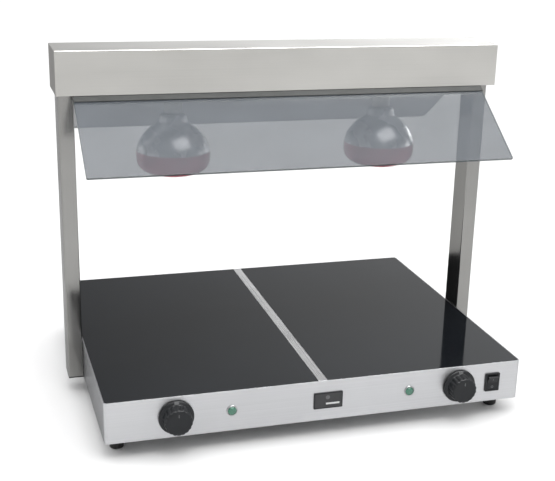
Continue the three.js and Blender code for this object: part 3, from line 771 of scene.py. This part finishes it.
def rocker_switch():
    """Paddle that dips in the middle, with a bar and a ring for on and off"""
    housing_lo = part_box("rocker_housing")[0]
    centre = middle("rocker_housing")
    tilt = math.radians(10)
    pivot_depth, middle_out = 4.1, 4.4
    panel = out_of_panel(centre.x, housing_lo.y + pivot_depth * MM, centre.z)
    pivot = panel @ Matrix.Rotation(tilt, 4, "X")
    # Half of the section, as [out, up] from the middle of the face to the middle of the back
    half = [
        (middle_out, 0), (4.46, 0.8), (4.75, 2), (5.46, 6), (6.34, 11), (6.3, 11.6), (5.8, 12),
        (-1, 12), (-4, 9),
    ]
    section = half + [(out, -up) for out, up in reversed(half[1:])]
    half_width = 8.9
    # How far in from an end, and how full the section is there
    left_end = [(0, 0.95), (0.15, 0.98), (0.5, 1)]
    ends = [(inset - half_width, share) for inset, share in left_end]
    ends += [(half_width - inset, share) for inset, share in reversed(left_end)]
    rings = [
        [(x * MM, up * share * MM, out * share * MM) for out, up in section] for x, share in ends
    ]
    mesh = loft("paddle", rings)
    paddle = piece("paddle", mesh, "rocker", [control_plastic], matrix=pivot)
    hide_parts("rocker")

    def on_face(up, turn):
        """Place on the half of the face that up is in, sunk 0.1 mm into it"""
        out = middle_out + abs(up) * math.tan(tilt) - 0.1
        place = pivot @ Matrix.Translation((0, up * MM, out * MM))
        return place @ Matrix.Rotation(turn * tilt, 4, "X")

    bar = loft("mark_on", slab_rings(0.9 * MM, 4 * MM, 0.25 * MM, 0.3 * MM, 0.08 * MM))
    piece("mark_on", bar, "rocker", [dull_paint], matrix=on_face(7, 1))
    profile = [(1.3, 0), (2.1, 0), (2.1, 0.22), (2.0, 0.25), (1.4, 0.25), (1.3, 0.22)]
    ring = loft("mark_off", lathe_rings(profile, 32), closed=True)
    piece("mark_off", ring, "rocker", [dull_paint], matrix=on_face(-7, -1))


def badge():
    """Blank plate with a black border, a bar and a dot"""
    lo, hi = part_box("badge_plate")
    centre = (lo + hi) / 2
    at = out_of_panel(centre.x, lo.y, centre.z)
    width, height = (hi.x - lo.x) / MM, (hi.z - lo.z) / MM
    edge = [
        (width - 3.6, height - 3.6, -0.1, 0.8), (width - 0.8, height - 0.8, -0.1, 1.2),
        (width - 0.8, height - 0.8, 0.25, 1.2), (width - 3.6, height - 3.6, 0.25, 0.8),
    ]
    border = loft("badge_border", box_rings(edge), closed=True)
    piece("badge_border", border, "frame", [control_plastic], matrix=at)
    bar = loft("badge_bar", slab_rings(23 * MM, 3 * MM, 0.3 * MM, 0.5 * MM, 0.1 * MM))
    place = at @ Matrix.Translation((7.5 * MM, -5.5 * MM, -0.05 * MM))
    piece("badge_bar", bar, "frame", [mark_paint], matrix=place)
    dot = loft("badge_dot", lathe_rings([(0.1, 0.28), (3.2, 0.28), (3.5, 0.2), (3.5, -0.1)], 40))
    place = at @ Matrix.Translation((-1 * MM, 5.5 * MM, 0))
    piece("badge_dot", dot, "frame", [dull_paint], matrix=place)


for side in SIDES:
    knob(side)
    pilot(side)
rocker_switch()
badge()


# --------------------------------------------------------- studio and camera


def soft_box(name, location, target, width, depth, power):
    """White rectangle of light, turned to target"""
    light = bpy.data.lights.new(name, "AREA")
    light.shape = "RECTANGLE"
    light.size, light.size_y = width, depth
    light.energy = power
    made = bpy.data.objects.new(name, light)
    made.visible_camera = False
    bpy.context.scene.collection.objects.link(made)
    made.location = location
    made.rotation_euler = (Vector(target) - Vector(location)).to_track_quat("-Z", "Y").to_euler()
    return made


LOW_CENTRE = (0, 0, 0.3)
LAMP_CENTRE = (0, 0, 0.44)
soft_box("key", (-0.15, -1.35, 2.3), LOW_CENTRE, 0.9, 0.9, 13)
top = soft_box("top", (-0.2, 0.2, 2.6), LOW_CENTRE, 2.4, 2.4, 8)
top.visible_glossy = False
# Two cards that only gloss shows, for the highlights on the lamps and the knobs
front_card = soft_box("front_card", (0.45, -0.95, 1.75), LAMP_CENTRE, 1.5, 1.0, 82)
front_card.visible_diffuse = False
left_card = soft_box("left_card", (-2.0, 0.7, 1.75), LAMP_CENTRE, 0.9, 0.8, 20)
left_card.visible_diffuse = False

# Levels of the sky, and the heights at which its walls end and its ceiling begins
WALL_STOPS = ((0.0, 1.0), (0.13, 0.92), (0.21, 0.07), (0.48, 0.10))
CEILING_RISE = (0.48, 0.66)
CEILING = 1.45
FRONT = 1.1
BEHIND_LEFT, BEHIND_RIGHT = 2.2, 10.2


def studio():
    """Sky of the studio: a bright horizon, a darker band above it, both of them brighter to the
    right and behind, and an even ceiling"""
    world = bpy.data.worlds.new("studio")
    bpy.context.scene.world = world
    world.use_nodes = True
    tree = world.node_tree
    toward = tree.nodes.new("ShaderNodeTexCoord")
    parts = tree.nodes.new("ShaderNodeSeparateXYZ")
    tree.links.new(toward.outputs["Generated"], parts.inputs["Vector"])

    walls = tree.nodes.new("ShaderNodeValToRGB")
    for position, level in WALL_STOPS[1:-1]:
        walls.color_ramp.elements.new(position).color = (level, level, level, 1)
    for index, (position, level) in ((0, WALL_STOPS[0]), (-1, WALL_STOPS[-1])):
        element = walls.color_ramp.elements[index]
        element.position, element.color = position, (level, level, level, 1)
    tree.links.new(parts.outputs["Z"], walls.inputs["Fac"])

    def ranged(source, *numbers):
        """source spread smoothly from one range to another, whose ends may be sockets"""
        made = tree.nodes.new("ShaderNodeMapRange")
        made.interpolation_type = "SMOOTHSTEP"
        for key, number in zip(RANGE_SOCKETS, numbers):
            if isinstance(number, bpy.types.NodeSocket):
                tree.links.new(number, made.inputs[key])
            else:
                made.inputs[key].default_value = number
        tree.links.new(source, made.inputs["Value"])
        return made.outputs["Result"]

    behind = ranged(parts.outputs["X"], -0.1, 0.7, BEHIND_LEFT, BEHIND_RIGHT)
    around = ranged(parts.outputs["Y"], -0.3, 0.3, FRONT, behind)
    low = tree.nodes.new("ShaderNodeMath")
    low.operation = "MULTIPLY"
    tree.links.new(walls.outputs["Color"], low.inputs[0])
    tree.links.new(around, low.inputs[1])
    mixed = tree.nodes.new("ShaderNodeMix")
    tree.links.new(ranged(parts.outputs["Z"], *CEILING_RISE, 0.0, 1.0), mixed.inputs["Factor"])
    tree.links.new(low.outputs["Value"], mixed.inputs["A"])
    mixed.inputs["B"].default_value = CEILING
    background = tree.nodes["Background"]
    background.inputs["Color"].default_value = (1, 1, 1, 1)
    tree.links.new(mixed.outputs["Result"], background.inputs["Strength"])


studio()

floor_mesh = bpy.data.meshes.new("floor")
REACH = 30
corners = [(-REACH, -REACH, 0), (REACH, -REACH, 0), (REACH, REACH, 0), (-REACH, REACH, 0)]
floor_mesh.from_pydata(corners, [], [(0, 1, 2, 3)])
floor = bpy.data.objects.new("floor", floor_mesh)
bpy.context.scene.collection.objects.link(floor)
floor_paint = Finish("floor_paint", (0.92, 0.92, 0.92), 0.9)
floor_paint.tinted(floor_paint.noise(1.5), 0.01)
floor_mesh.materials.append(floor_paint.material)

camera = bpy.data.cameras.new("camera")
camera.sensor_width = 36
camera.lens = 72.07
camera.shift_x = -0.0298
camera.shift_y = 0.0450
camera_object = bpy.data.objects.new("camera", camera)
bpy.context.scene.collection.objects.link(camera_object)
EYE = (-0.5407, -1.7957, 0.8466)
YAW, PITCH, ROLL = -0.308, -0.330, 0.029
level = math.cos(PITCH)
forward = Vector((-math.sin(YAW) * level, math.cos(YAW) * level, math.sin(PITCH)))
right = forward.cross(Vector((0, 0, 1))).normalized()
up = right.cross(forward)
rolled_right = right * math.cos(ROLL) + up * math.sin(ROLL)
rolled_up = up * math.cos(ROLL) - right * math.sin(ROLL)
turn = Matrix((rolled_right, rolled_up, -forward)).transposed().to_4x4()
camera_object.matrix_world = Matrix.Translation(EYE) @ turn
bpy.context.scene.camera = camera_object
bpy.context.scene.view_settings.view_transform = "Standard"
